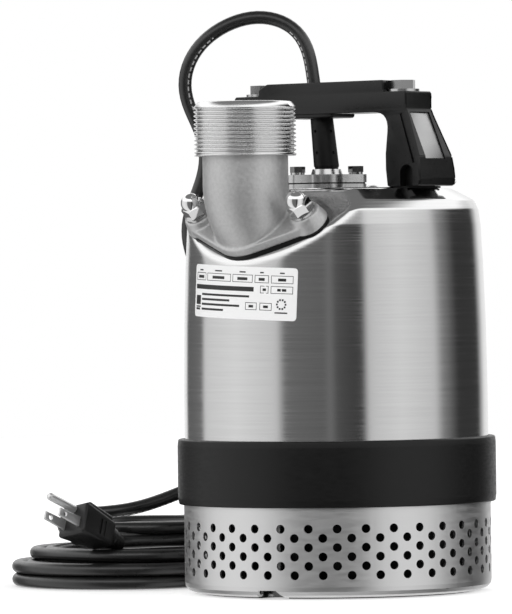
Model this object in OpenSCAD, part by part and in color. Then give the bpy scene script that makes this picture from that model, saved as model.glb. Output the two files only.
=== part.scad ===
// Submersible sump pump: annular-flow dewatering pump with a stainless shell,
// a perforated strainer, a threaded discharge elbow and a moulded handle.
// Millimetres, +Z up. Origin on the floor at the pump's axis; the discharge faces -Y.

/* [Shell] */
// Outer radius of the shell where it leaves the protector band
shell_r = 91; // [88:0.5:91]
// Height of the flat top of the shell above the floor
shell_top_z = 240.5; // [239:0.5:242]
// Thickness of the stainless sheet
sheet_t = 1.5; // [1:0.1:1.8]
// Height where the sloped facet's plane meets the pump's axis
facet_axis_z = 287.5; // [286:0.5:289]

/* [Discharge] */
// Distance of the vertical discharge pipe from the pump's axis
discharge_y = 80; // [79:0.5:81]
// Outer radius of the elbow's cast pipe
pipe_r = 25.3; // [25:0.1:26]
// Radius of the water passage through the elbow
pipe_bore_r = 22.5; // [20:0.1:23]
// Major radius of the two-inch pipe thread
thread_r = 30.15; // [29.8:0.05:30.4]
// Height of the lowest full thread above the floor
thread_z0 = 260.5; // [258:0.5:264]
// Height of the elbow's open end above the floor
discharge_top_z = 293.3; // [290:0.1:296]
// Half the distance between the two discharge studs
stud_half_gap = 41; // [40:0.5:42]

/* [Strainer and band] */
// Outer radius of the perforated strainer
strainer_r = 92; // [91.5:0.1:92]
// Height of the strainer's top edge
strainer_top_z = 56; // [54:0.5:57]
// Diameter of one strainer hole
hole_d = 5.2; // [3:0.1:5.6]
// Number of holes in one row
holes_per_row = 34; // [24:2:36]
// Number of staggered rows of holes
hole_rows = 6; // [3:1:6]
// Outer radius of the rubber protector band
band_r = 95.5; // [94:0.1:97]
// Height of the band's lower edge
band_z0 = 53.5; // [52:0.5:55]
// Height of the band's upper edge
band_z1 = 92.5; // [88:0.5:96]

/* [Handle] */
// Height of the grip bar's top face
bar_top_z = 305; // [303:0.5:308]
// Height of the grip bar's underside
bar_bottom_z = 286; // [284:0.5:288]
// Half width of the grip bar across the hand
bar_half_w = 12; // [10:0.5:13]
// Half width of the handle's feet
foot_half_w = 16.5; // [14:0.5:18]
// Distance of each handle bolt from the pump's axis
handle_bolt_x = 55.5; // [55:0.5:57]

/* [Motor] */
// Outer radius of the motor frame
motor_r = 70; // [68:0.5:71]
// Number of blades on the impeller
impeller_blades = 6; // [4:1:8]
// Number of balls in each bearing
ball_count = 8; // [7:1:9]

/* [Cord] */
// Diameter of the power cord
cord_d = 8; // [7.5:0.1:8.2]

/* [Hidden] */
$fn = 64;

fit = 0.05;             // radial clearance of a running fit
shell_z0 = 60;          // lower edge of the shell
flat_r = 71;            // radius of the shell's flat top
facet_y = -68.4;        // centre of the discharge opening on the facet
facet_z = facet_axis_z + facet_y;
flange_t = 7;           // gasket and flange together
gasket_t = 2;
bend_r = 32;            // the elbow's bend, on its centre line
bend_z = 243.9;         // where the bend becomes vertical
lens_r = 27.5;          // the discharge flange: a round plate with two ears
ear_r = 10;
bearing_low_z = 116;
bearing_low_h = 12;
bearing_up_z = 196;
bearing_up_h = 11;
rotor_z0 = 146;
rotor_z1 = 186;
gland_x = -5;
gland_ear = 17.5;       // distance of the gland's bolts from its centre
stud_ring_r = 78;       // strainer studs
stud_turn = -77;
handle_bolt_len = 72;
cover_screw_x = 31;
leg_z0 = 241.6;         // underside of the handle's feet
shoulder_z = bar_top_z - 7;
coil_low = [-171, 4];   // the coil's lower and upper windings
coil_high = [-170, 20];
plug_at = [-141, -59, 38];
plug_turn = [12, -17.5, -104];

// The cord's free stretch, from the boot's end over the loop and down to the coil
cord_route = [[-10, 0, 280], [-12, 0, 293], [-14, -1, 306], [-16, -1, 325],
    [-21, -3, 336], [-29, -7, 343], [-42, -16, 347], [-54, -26, 344],
    [-70, -37, 333], [-79, -43, 317], [-82, -43, 301], [-80, -37, 288],
    [-77, -30, 276], [-76, -27, 259], [-80, -32, 241], [-87, -36, 222],
    [-92, -27, 207], [-97, -10, 186], [-99, 6, 160], [-101, 19, 134],
    [-104, 32, 111], [-110, 44, 93], [-121, 54, 79], [-136, 58, 70],
    [-151, 54, 62], [-162, 43, 56], [-168, 25, 50], [-172, 6, 46],
    [-183, -7, 44], [-199, -13, 43], [-213, -11, 42]];

// The short stretch from the coil up to the plug
tail_route = [[-118, -4, 29], [-124, -14, 29], [-130, -24, 29], [-135, -34, 30]];

// ---------------------------------------------------------------- helpers
function unit(v) = v / norm(v);

// Tangent of a route at one of its points
function heading(p, i) = unit(p[min(i + 1, len(p) - 1)] - p[max(i - 1, 0)]);

// One point between p1 and p2 on the smooth curve through p0..p3
function between(p0, p1, p2, p3, t) =
    0.5 * (2 * p1 + (p2 - p0) * t + (2 * p0 - 5 * p1 + 4 * p2 - p3) * t * t
    + (3 * p1 - p0 - 3 * p2 + p3) * t * t * t);

// The route with one more point in the middle of each stretch
function smooth_route(p) = let (n = len(p)) concat([for (i = [0 : n - 2])
    each [p[i], between(p[max(i - 1, 0)], p[i], p[i + 1], p[min(i + 2, n - 1)], 0.5)]],
    [p[n - 1]]);

// Side vectors carried along the route without twisting
function carried(p) = let (start = cross(heading(p, 0), [0.3, 1, 0.1]))
    [for (i = 0, s = unit(start); i < len(p);
        i = i + 1, s = i < len(p) ? unit(s - (s * heading(p, i)) * heading(p, i)) : s) s];

module tube_along(route, d, sides = 10) {
    side = carried(route);
    count = len(route);
    ring_r = d / 2;
    points = [for (i = [0 : count - 1]) let (h = heading(route, i), s = side[i],
        u = cross(h, s)) for (k = [0 : sides - 1])
        route[i] + ring_r * (cos(k * 360 / sides) * s + sin(k * 360 / sides) * u)];
    walls = [for (i = [0 : count - 2], k = [0 : sides - 1])
        [i * sides + k, (i + 1) * sides + k,
        (i + 1) * sides + (k + 1) % sides, i * sides + (k + 1) % sides]];
    first = [for (k = [0 : sides - 1]) k];
    last = [for (k = [sides - 1 : -1 : 0]) (count - 1) * sides + k];
    polyhedron(points, concat(walls, [first, last]));
}

module ring(r_in, r_out, z0, z1) {
    rotate_extrude() translate([r_in, z0]) square([r_out - r_in, z1 - z0]);
}

module rod(r, z0, z1) {
    translate([0, 0, z0]) cylinder(r = r, h = z1 - z0);
}

// Hexagon nut or head: across flats, heights
module hex(af, z0, z1) {
    translate([0, 0, z0]) cylinder(d = af / cos(30), h = z1 - z0, $fn = 6);
}

// Round plate with two ears: discs joined along their outer tangents
module eared_plate(r, ear, reach, h) {
    tilt = acos((r - ear) / reach);
    near = (r - 0.1) * [cos(tilt), sin(tilt)];
    far = (ear - 0.1) * [cos(tilt), sin(tilt)] + [reach, 0];
    cylinder(r = r, h = h);
    for (s = [-1, 1]) translate([s * reach, 0, 0]) cylinder(r = ear, h = h);
    linear_extrude(h) polygon([near, far, [far[0], -far[1]], [near[0], -near[1]],
        -near, -far, [-far[0], far[1]], [-near[0], near[1]]]);
}

// Places children on the sloped facet, +Z along its outward normal
module on_facet() {
    translate([0, facet_y, facet_z]) rotate([45, 0, 0]) children();
}

module at_studs(z = 0) {
    for (s = [-1, 1]) translate([s * stud_half_gap, 0, z]) children();
}

module at_strainer_studs() {
    for (i = [0 : 2]) rotate(stud_turn + 120 * i) translate([stud_ring_r, 0, 0]) children();
}

module at_gland() {
    translate([gland_x, 0, shell_top_z]) rotate(45) children();
}

module at_gland_bolts() {
    at_gland() for (s = [-1, 1]) translate([s * gland_ear, 0, 0]) children();
}

module at_cover_screws() {
    for (s = [-1, 1]) translate([s * cover_screw_x, 0, 0]) children();
}

module at_handle_bolts() {
    for (s = [-1, 1]) translate([s * handle_bolt_x, 0, 0]) children();
}

// ---------------------------------------------------------------- shell
// Section of the shell, its surface moved inwards by t and its foot down by t
module shell_section(t) {
    polygon([[0, shell_z0 - t], [shell_r - t, shell_z0 - t], [shell_r - t, 120],
        [shell_r - 0.6 - t, 160], [shell_r - 1.8 - t, 196], [shell_r - 3 - t, 219],
        [shell_r - 4.4 - t, 228], [shell_r - 5.6 - t, 231.4 - t / 2],
        [shell_r - 8 - t, 233.8 - t], [flat_r, shell_top_z - t], [0, shell_top_z - t]]);
}

module shell_form(t) {
    difference() {
        rotate_extrude($fn = 128) shell_section(t);
        translate([0, 0, -t]) on_facet() translate([-100, -100, 0]) cube([200, 200, 100]);
    }
}

module outer_shell() {
    color("gainsboro") difference() {
        shell_form(0);
        shell_form(sheet_t);
        on_facet() translate([0, 0, -12]) cylinder(r = pipe_bore_r + 0.5, h = 24);
        on_facet() at_studs(-12) cylinder(r = 4.3, h = 24);
        translate([gland_x, 0, shell_top_z - 10]) cylinder(r = 8, h = 20);
        at_gland_bolts() translate([0, 0, -8]) cylinder(r = 2.8, h = 12);
        at_handle_bolts() rod(4.3, 225, 245);
        at_cover_screws() rod(3.2, 225, 245);
    }
}

module protector_band() {
    color([0.08, 0.08, 0.08]) rotate_extrude($fn = 128) polygon([
        [strainer_r, band_z0], [band_r - 1.5, band_z0], [band_r - 0.3, band_z0 + 1],
        [band_r, band_z0 + 4], [band_r, band_z1 - 4], [band_r - 0.3, band_z1 - 1],
        [band_r - 1.5, band_z1], [shell_r, band_z1], [shell_r, shell_z0],
        [strainer_r, shell_z0]]);
}

module name_label() {
    color("white") rotate([0, 0, -116]) rotate_extrude(angle = 52, $fn = 128) polygon([
        [shell_r - 0.74, 164.5], [shell_r - 0.44, 164.5],
        [shell_r - 1.48, 195.7], [shell_r - 1.78, 195.7]]);
}

// ---------------------------------------------------------------- discharge
module flange_plate(h, grow = 0) {
    eared_plate(lens_r + grow, ear_r + grow, stud_half_gap, h);
}

module discharge_gasket() {
    color([0.08, 0.08, 0.08]) on_facet() difference() {
        flange_plate(gasket_t, 0.6);
        translate([0, 0, -1]) cylinder(r = pipe_bore_r, h = 4);
        at_studs(-1) cylinder(r = 4.3, h = 4);
    }
}

// The elbow's bend, from the facet's normal to upright, as a bent pipe
module elbow_bend() {
    translate([0, bend_r - discharge_y, bend_z]) rotate([0, 90, 0]) rotate([0, 0, -90])
        rotate_extrude(angle = 45) translate([bend_r, 0]) pipe_section();
}

module pipe_section() {
    difference() {
        circle(pipe_r);
        circle(pipe_bore_r);
    }
}

module discharge_elbow() {
    color([0.62, 0.62, 0.62]) {
        on_facet() difference() {
            union() {
                translate([0, 0, gasket_t]) flange_plate(flange_t - gasket_t);
                at_studs(gasket_t) cylinder(r1 = ear_r, r2 = 8.5, h = 9);
            }
            cylinder(r = pipe_bore_r, h = 20);
            at_studs(-1) cylinder(r = 4.3, h = 16);
        }
        elbow_bend();
        translate([0, -discharge_y, bend_z]) {
            linear_extrude(thread_z0 - bend_z) pipe_section();
            rotate_extrude() polygon([[pipe_bore_r, thread_z0 - bend_z],
                [thread_r, thread_z0 - bend_z], [thread_r, thread_z0 - bend_z + 29],
                [thread_r - 3, discharge_top_z - bend_z - 0.6],
                [pipe_bore_r + 3, discharge_top_z - bend_z],
                [pipe_bore_r, discharge_top_z - bend_z - 0.6]]);
        }
    }
}

module discharge_studs() {
    color("silver") on_facet() at_studs(-5) cylinder(r = 4, h = 23);
}

module discharge_washers() {
    color("silver") on_facet() at_studs(11) difference() {
        cylinder(r = 8, h = 1.6);
        translate([0, 0, -1]) cylinder(r = 4.3, h = 4);
    }
}

module discharge_cap_nuts() {
    color("gainsboro") on_facet() at_studs(12.6) difference() {
        union() {
            cylinder(d = 13 / cos(30), h = 6.2, $fn = 6);
            rotate_extrude() intersection() {
                union() {
                    translate([0, 7.5]) circle(6.2);
                    square([6.2, 7.5]);
                }
                square([20, 20]);
            }
        }
        translate([0, 0, -1]) cylinder(r = 4.05, h = 9);
    }
}

// ---------------------------------------------------------------- strainer
module strainer_holes() {
    pitch = 360 / holes_per_row;
    for (row = [0 : hole_rows - 1], i = [0 : holes_per_row - 1])
        rotate(-50 + pitch * (i + (row % 2 == 0 ? 0.5 : 0)))
            translate([strainer_r - 4, 0, 14 + row * 5.44]) rotate([0, 90, 0])
                cylinder(d = hole_d, h = 8, $fn = 24);
}

// Recess under the base for one nut, open to the outside
module nut_recess() {
    translate([0, 0, -1]) cylinder(r = 8.6, h = 7);
    rotate([90, 0, 90]) linear_extrude(20)
        polygon([[-9, -1], [9, -1], [9, 0.8], [5.6, 5], [-5.6, 5], [-9, 0.8]]);
}

module strainer() {
    color("lightgray") difference() {
        rotate_extrude($fn = 128) polygon([[82, 0.8], [86, 0.8], [89.5, 2.2],
            [strainer_r - 0.5, 4.4], [strainer_r, 7], [strainer_r, strainer_top_z],
            [strainer_r - sheet_t, strainer_top_z], [strainer_r - sheet_t, 7.2],
            [90.1, 5.2], [88.6, 3.6], [85.7, 2.3], [82, 2.3]]);
        strainer_holes();
        at_strainer_studs() nut_recess();
    }
}

module base_plate() {
    color([0.12, 0.12, 0.12]) difference() {
        union() {
            rod(81.7, 0, 4.8);
            rod(85.5, 2.4, 4.8);
            at_strainer_studs() rod(11, 2.4, 8.4);
        }
        at_strainer_studs() nut_recess();
        at_strainer_studs() rod(3.2, -1, 12);
    }
}

module strainer_studs() {
    color("silver") at_strainer_studs() rod(3, 1, 70);
}

module strainer_nuts() {
    color("silver") at_strainer_studs() difference() {
        hex(10, 1.2, 6);
        rod(3.05, 0, 8);
    }
}

// ---------------------------------------------------------------- wet end
module suction_cover() {
    color("dimgray") difference() {
        union() {
            rod(strainer_r - sheet_t - 0.3, 52, strainer_top_z);
            rod(strainer_r - 0.1, strainer_top_z, shell_z0);
            rod(32, 44, 52);
        }
        rod(27, 40, 64);
        at_strainer_studs() rod(3.2, 40, 64);
    }
}

module wear_ring() {
    color("darkgoldenrod") difference() {
        rod(27, 52, 60.6);
        rod(24.4, 50, 64);
    }
}

// Casing: a wall, a deck over the impeller with outlet ports, and stud bosses
module pump_casing() {
    color("gray") difference() {
        union() {
            difference() {
                rod(88, shell_z0, 100);
                rod(84, shell_z0 - 1, 82);
                rod(84, 90, 101);
            }
            at_strainer_studs() rod(5.6, shell_z0, 83);
        }
        for (i = [0 : 11]) rotate(30 * i + 13) translate([73, 0, 80]) cylinder(r = 7, h = 12);
        rod(9.6, 80, 102);
        at_strainer_studs() rod(3.1, shell_z0 - 1, 75);
    }
}

module casing_o_ring() {
    color([0.05, 0.05, 0.05]) rotate_extrude()
        translate([88.75, 96]) circle(0.7, $fn = 24);
}

// One backward-curved blade: a slice of a ring beside the hub
module blade() {
    intersection() {
        translate([0, 26, 0]) ring(29, 33, 68.4, 77.1);
        difference() {
            rod(56, 68, 78);
            rod(13, 67, 79);
        }
        translate([0, -20, 60]) cube([70, 75, 30]);
    }
}

module impeller() {
    color("darkgray") difference() {
        union() {
            rod(57, 77, 80);
            rod(13, 68, 81.5);
            ring(24, 57, 66, 68.5);
            ring(20.5, 24, 61.2, 68.5);
            for (i = [0 : impeller_blades - 1]) rotate(i * 360 / impeller_blades) blade();
        }
        rod(6 + fit, 60, 90);
    }
}

module impeller_nut() {
    color("silver") difference() {
        hex(18, 60, 67.9);
        rod(6 + fit, 58, 70);
    }
}

// ---------------------------------------------------------------- seal and oil chamber
module oil_chamber_cover() {
    color("gray") difference() {
        rod(54, 90.1, 95);
        rod(16.1, 88, 97);
    }
}

module seal_seat() {
    color("whitesmoke") difference() {
        rod(16, 90.2, 97);
        rod(10.2, 88, 100);
    }
}

module seal_face() {
    color([0.15, 0.15, 0.15]) difference() {
        union() {
            rod(14.5, 97.2, 101);
            rod(12, 101, 103);
        }
        rod(9 + fit, 90, 110);
    }
}

module seal_spring() {
    turns = 3;
    steps = 16;
    route = [for (i = [0 : turns * steps]) [13 * cos(i * 360 / steps),
        13 * sin(i * 360 / steps), 104.2 + 6.5 * i / (turns * steps)]];
    color("silver") tube_along(route, 1.8, 6);
}

module oil_chamber() {
    color("gray") difference() {
        union() {
            rod(54, 95.1, 128);
            rod(motor_r, 121, 128);
        }
        rod(48, 90, 112);
        rod(11, 110, 120);
        rod(20 + fit, bearing_low_z, 130);
    }
}

// ---------------------------------------------------------------- bearings
// Race grooves and balls share one pitch circle and a small clearance
module race(r_in, r_out, z0, h, pitch_r, ball_r) {
    difference() {
        ring(r_in, r_out, z0, z0 + h);
        translate([0, 0, z0 + h / 2]) rotate_extrude()
            translate([pitch_r, 0]) circle(ball_r + 0.12, $fn = 32);
    }
}

module ball_set(z0, h, pitch_r, ball_r) {
    for (i = [0 : ball_count - 1]) rotate(i * 360 / ball_count)
        translate([pitch_r, 0, z0 + h / 2]) sphere(ball_r, $fn = 32);
}

module lower_bearing_outer() {
    color("silver") race(16.2, 20, bearing_low_z, bearing_low_h, 14.25, 3.4);
}

module lower_bearing_balls() {
    color("white") ball_set(bearing_low_z, bearing_low_h, 14.25, 3.4);
}

module lower_bearing_inner() {
    color("silver") race(8.5 + fit, 12.3, bearing_low_z, bearing_low_h, 14.25, 3.4);
}

module upper_bearing_outer() {
    color("silver") race(14.2, 17.5, bearing_up_z, bearing_up_h, 12.4, 3);
}

module upper_bearing_balls() {
    color("white") ball_set(bearing_up_z, bearing_up_h, 12.4, 3);
}

module upper_bearing_inner() {
    color("silver") race(7.5 + fit, 10.6, bearing_up_z, bearing_up_h, 12.4, 3);
}

module wave_washer() {
    color("steelblue") ring(13, 16.8, 207.1, 208.1);
}

// ---------------------------------------------------------------- rotor
module shaft() {
    color("lightsteelblue") {
        rod(6, 58.5, 88.1);
        rod(9, 88.1, bearing_low_z);
        rod(8.5, bearing_low_z, 128.1);
        rod(11, 128.1, bearing_up_z);
        rod(7.5, bearing_up_z, 207);
    }
}

module rotor_core() {
    color("slategray") ring(11 + fit, 32.4, rotor_z0, rotor_z1);
}

module rotor_end_rings() {
    color("silver") {
        ring(20, 31, rotor_z0 - 6, rotor_z0 - 0.05);
        ring(20, 31, rotor_z1 + 0.05, rotor_z1 + 6);
    }
}

// ---------------------------------------------------------------- stator and frame
module slot_bars(grow) {
    for (i = [0 : 23]) rotate(15 * i)
        translate([37 - grow, -2.2 - grow, rotor_z0 - 1])
            cube([15 + 2 * grow, 4.4 + 2 * grow, rotor_z1 - rotor_z0 + 2]);
}

module stator_core() {
    color("slategray") difference() {
        ring(33, motor_r - 4.1, rotor_z0, rotor_z1);
        slot_bars(0.3);
    }
}

module stator_windings() {
    color("peru") {
        ring(37, 56, rotor_z0 - 9, rotor_z0 - 0.5);
        ring(37, 56, rotor_z1 + 0.5, rotor_z1 + 9);
        slot_bars(0);
    }
}

module motor_frame() {
    color("silver") ring(motor_r - 4, motor_r, 128.1, 205);
}

module motor_head() {
    color("gray") difference() {
        union() {
            rod(motor_r, 205.1, 211.5);
            rod(22, bearing_up_z, 206);
            ring(38, 42, 211, 235);
        }
        rod(17.5 + fit, 190, 208.6);
        translate([27, 0, 200]) cylinder(r = 5, h = 20);
    }
}

module chamber_cover() {
    color("gray") difference() {
        union() {
            rod(42, 235.1, shell_top_z - sheet_t);
            at_cover_screws() rod(6, 226, 236);
            at_gland_bolts() translate([0, 0, -13]) cylinder(r = 5, h = 10);
        }
        translate([gland_x, 0, 230]) cylinder(r = 8, h = 20);
        at_cover_screws() rod(3.1, 225, 245);
        at_gland_bolts() translate([0, 0, -14]) cylinder(r = 2.6, h = 20);
        translate([0, 0, 237]) ring(34.4, 37.6, 0, 3);
    }
}

module chamber_o_ring() {
    color([0.05, 0.05, 0.05]) translate([0, 0, 238.05]) rotate_extrude()
        translate([36, 0]) circle(0.95, $fn = 24);
}

module chamber_cover_screws() {
    color("silver") at_cover_screws() translate([0, 0, shell_top_z]) {
        translate([0, 0, -12]) cylinder(r = 3, h = 12.5);
        intersection() {
            translate([0, 0, -4.2]) sphere(6.9);
            translate([0, 0, 0.02]) cylinder(r = 5.35, h = 5);
        }
    }
}

module thermal_protector() {
    color([0.2, 0.2, 0.2]) translate([-14, -24, 212]) cube([28, 10, 8]);
}

module run_capacitor() {
    color("lightgray") translate([-22, 20, 219.7]) rotate([0, 90, 0]) cylinder(r = 7.6, h = 44);
}

// ---------------------------------------------------------------- cable gland
module gland_seat() {
    color("silver") difference() {
        at_gland() eared_plate(16, 6.4, gland_ear, 3.8);
        translate([gland_x, 0, shell_top_z - 5]) cylinder(r = 8, h = 20);
        at_gland_bolts() translate([0, 0, -2]) cylinder(r = 2.7, h = 10);
    }
}

module gland_packing() {
    color([0.06, 0.06, 0.06]) at_gland() translate([0, 0, 3.8]) difference() {
        eared_plate(15, 5.6, gland_ear, 0.8);
        translate([0, 0, -1]) cylinder(r = 7.6, h = 4);
        for (s = [-1, 1]) translate([s * gland_ear, 0, -1]) cylinder(r = 2.7, h = 4);
    }
}

module gland_cover() {
    color("silver") at_gland() translate([0, 0, 4.6]) difference() {
        eared_plate(16, 6.6, gland_ear, 4.8);
        translate([0, 0, -1]) cylinder(r = 7.6, h = 8);
        for (s = [-1, 1]) translate([s * gland_ear, 0, -1]) cylinder(r = 2.7, h = 8);
    }
}

module gland_collar() {
    color("gainsboro") at_gland() translate([0, 0, 9.4]) difference() {
        cylinder(r1 = 9.6, r2 = 8.6, h = 3.3);
        translate([0, 0, -1]) cylinder(r = 7.6, h = 6);
    }
}

module gland_spring_washers() {
    color("silver") at_gland_bolts() translate([0, 0, 9.4]) difference() {
        cylinder(r = 4.3, h = 1.4);
        translate([0, 0, -1]) cylinder(r = 2.7, h = 4);
    }
}

module gland_bolts() {
    color("silver") at_gland_bolts() {
        hex(8, 10.8, 14.4);
        rod(2.5, -12, 10.9);
    }
}

// Rubber boot: an upright neck in the gland and a cone that leans with the cord
module cable_boot() {
    color([0.05, 0.05, 0.05]) translate([gland_x, 0, 0]) {
        rod(7, shell_top_z - 3, 256);
        translate([0, 0, 254.2]) rotate([0, -6.5, 0]) cylinder(r1 = 7.5, r2 = 6.3, h = 30);
    }
}

// ---------------------------------------------------------------- handle
// Side view of the whole handle: bar, shoulders, legs and feet
module handle_outline() {
    corner = bar_bottom_z - 12;
    difference() {
        union() {
            for (s = [0, 1]) mirror([s, 0]) polygon([[-2, corner - 2],
                [-2, shoulder_z], [67, shoulder_z], [67, 287.5], [79.5, 259],
                [81, 246], [80, leg_z0], [55.8, leg_z0], [53.5, corner - 2]]);
            translate([-41, shoulder_z - 5]) square([90.5, bar_top_z - shoulder_z + 5]);
            translate([-48, shoulder_z - 5]) square([20, 5]);
            translate([-41, shoulder_z]) circle(7);
        }
        translate([-41.5, 250]) square([83, bar_bottom_z - 250]);
        translate([-53.5, 240]) square([107, corner - 240]);
        for (s = [-1, 1]) translate([s * 41.5, corner]) circle(12);
    }
}

// End view: the bar's width above, the wider feet below
module handle_width() {
    polygon([[-bar_half_w, 320], [-bar_half_w, 284], [-foot_half_w, 252],
        [-foot_half_w, 230], [foot_half_w, 230], [foot_half_w, 252],
        [bar_half_w, 284], [bar_half_w, 320]]);
}

// Drain notch under a foot, open to the side
module foot_notch() {
    translate([70.5, -20, leg_z0 - 1]) {
        translate([-4.8, 0, 0]) cube([9.6, 8, 8]);
        translate([0, 0, 8]) rotate([-90, 0, 0]) cylinder(r = 4.8, h = 8);
    }
}

module handle() {
    color([0.08, 0.08, 0.08]) difference() {
        union() {
            intersection() {
                translate([0, 30, 0]) rotate([90, 0, 0]) linear_extrude(60) handle_outline();
                translate([-100, 0, 0]) rotate([90, 0, 90]) linear_extrude(200) handle_width();
            }
            at_handle_bolts() rod(7.8, leg_z0, shoulder_z - 1);
        }
        translate([-12.5, 0, 270]) cylinder(r = 8.2, h = 50);
        at_handle_bolts() rod(4.3, 230, 310);
        at_handle_bolts() rod(10.5, shoulder_z, 310);
        for (s = [0, 1]) mirror([s, 0]) for (f = [0, 1]) mirror([0, f]) foot_notch();
    }
}

module handle_pads() {
    color([0.1, 0.1, 0.1]) for (s = [0, 1]) mirror([s, 0]) difference() {
        translate([56.2, -15, shell_top_z]) cube([14.6, 30, leg_z0 - shell_top_z]);
        translate([handle_bolt_x, 0, 235]) cylinder(r = 8, h = 10);
    }
}

module handle_washers() {
    color("silver") at_handle_bolts() ring(4.3, 9.6, shoulder_z, shoulder_z + 1.5);
}

module handle_bolts() {
    head_z = shoulder_z + 1.5;
    nut_z = shell_top_z - sheet_t;
    color("silver") at_handle_bolts() {
        hex(13, head_z, head_z + 5.3);
        rod(4, head_z - handle_bolt_len, head_z + 0.1);
        hex(13, nut_z - 6.5, nut_z);
    }
}

// ---------------------------------------------------------------- cord and plug
module power_cord() {
    color([0.1, 0.1, 0.1]) tube_along(smooth_route(cord_route), cord_d);
}

module plug_tail() {
    color([0.1, 0.1, 0.1]) tube_along(smooth_route(tail_route), cord_d);
}

module cord_coil() {
    color([0.13, 0.13, 0.13]) difference() {
        union() {
            translate(coil_low) rod(75, 0, 24);
            translate(coil_high) rod(59, 23.9, 40);
        }
        translate([0, 0, -1]) translate(coil_low) cylinder(r = 51, h = 30);
        translate([0, 0, -1]) translate(coil_high) cylinder(r = 43, h = 50);
    }
}

// Places children at the plug, +X out of its face, +Z towards the earth pin
module at_plug() {
    translate(plug_at) rotate(plug_turn) children();
}

module plug_body() {
    color([0.06, 0.06, 0.06]) at_plug() {
        rotate([0, 90, 0]) translate([0, 0, 4]) cylinder(r = 12.4, h = 7);
        translate([-12, -10, -9]) cube([20, 20, 18]);
        rotate([0, -90, 0]) translate([0, 0, 11]) cylinder(r1 = 9, r2 = 5.4, h = 16);
    }
}

module plug_blades() {
    color("silver") at_plug() for (s = [-1, 1]) difference() {
        translate([11, s * 6.35 - 0.75, -6.7]) cube([17, 1.5, 6.35]);
        translate([24, s * 6.35, -3.5]) rotate([90, 0, 0])
            cylinder(r = 1.6, h = 5, center = true);
    }
}

module plug_ground_pin() {
    color("silver") at_plug() translate([11, 0, 6.6]) rotate([0, 90, 0]) {
        cylinder(r = 2.4, h = 18.2);
        translate([0, 0, 18.2]) cylinder(r1 = 2.4, r2 = 1.2, h = 2);
    }
}

outer_shell();
discharge_gasket();
discharge_elbow();
discharge_studs();
discharge_washers();
discharge_cap_nuts();
name_label();
protector_band();
strainer();
base_plate();
strainer_studs();
strainer_nuts();
suction_cover();
wear_ring();
pump_casing();
casing_o_ring();
impeller();
impeller_nut();
oil_chamber_cover();
oil_chamber();
seal_seat();
seal_face();
seal_spring();
lower_bearing_outer();
lower_bearing_balls();
lower_bearing_inner();
upper_bearing_outer();
upper_bearing_balls();
upper_bearing_inner();
wave_washer();
shaft();
rotor_core();
rotor_end_rings();
stator_core();
stator_windings();
motor_frame();
motor_head();
chamber_cover();
chamber_cover_screws();
chamber_o_ring();
thermal_protector();
run_capacitor();
gland_seat();
gland_packing();
gland_cover();
gland_collar();
gland_bolts();
gland_spring_washers();
cable_boot();
handle();
handle_bolts();
handle_washers();
handle_pads();
power_cord();
cord_coil();
plug_tail();
plug_body();
plug_blades();
plug_ground_pin();
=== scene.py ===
import math

import bmesh
import bpy
from mathutils import Matrix, Vector


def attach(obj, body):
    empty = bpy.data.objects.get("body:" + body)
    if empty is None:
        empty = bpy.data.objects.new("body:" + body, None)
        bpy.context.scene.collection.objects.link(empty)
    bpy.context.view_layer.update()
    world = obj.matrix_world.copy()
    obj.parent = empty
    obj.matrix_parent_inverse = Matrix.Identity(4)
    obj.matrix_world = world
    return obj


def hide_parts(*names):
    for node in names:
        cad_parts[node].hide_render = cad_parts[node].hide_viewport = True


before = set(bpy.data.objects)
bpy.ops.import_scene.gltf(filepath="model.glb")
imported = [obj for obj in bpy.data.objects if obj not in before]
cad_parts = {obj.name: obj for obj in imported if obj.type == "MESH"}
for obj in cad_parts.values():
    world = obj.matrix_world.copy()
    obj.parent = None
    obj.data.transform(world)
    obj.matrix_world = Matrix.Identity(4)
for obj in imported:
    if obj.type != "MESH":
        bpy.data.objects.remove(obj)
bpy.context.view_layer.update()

boltX = 55.5  # the handle's bolts, left and right of the middle
pumpBody = "pump"
scene = bpy.context.scene
scene.view_settings.view_transform = "Standard"


# Small helpers. Sizes given to them are millimetres.
def mm(*values):
    return Vector(values) * 0.001


def moveBy(x, y, z):
    return Matrix.Translation(mm(x, y, z))


def turnBy(degrees, axis):
    return Matrix.Rotation(math.radians(degrees), 4, axis)


def smoothStep(t):
    t = min(max(t, 0.0), 1.0)
    return t * t * (3 - 2 * t)


def deselectAll():
    if bpy.context.object and bpy.context.object.mode != "OBJECT":
        bpy.ops.object.mode_set(mode="OBJECT")
    bpy.ops.object.select_all(action="DESELECT")


def selectOnly(*pieces):
    deselectAll()
    for piece in pieces:
        piece.select_set(True)
    bpy.context.view_layer.objects.active = pieces[0]


def applyModifier(piece, kind, **settings):
    selectOnly(piece)
    modifier = piece.modifiers.new(kind.title(), kind)
    for name, value in settings.items():
        setattr(modifier, name, value)
    bpy.ops.object.modifier_apply(modifier=modifier.name)


def join(pieces):
    selectOnly(*pieces)
    bpy.ops.object.join()
    return bpy.context.object


def bakePlace(piece, matrix=None):
    selectOnly(piece)
    bpy.ops.object.transform_apply(location=True, rotation=True, scale=True)
    if matrix is not None:
        piece.data.transform(matrix)


def cut(piece, cutters, operation="DIFFERENCE"):
    tool = join(cutters) if len(cutters) > 1 else cutters[0]
    bakePlace(tool)
    applyModifier(piece, "BOOLEAN", operation=operation, object=tool, solver="EXACT")
    bpy.data.objects.remove(tool)


def smoothByAngle(piece, degrees=35):
    selectOnly(piece)
    bpy.ops.object.shade_smooth_by_angle(angle=math.radians(degrees))


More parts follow.
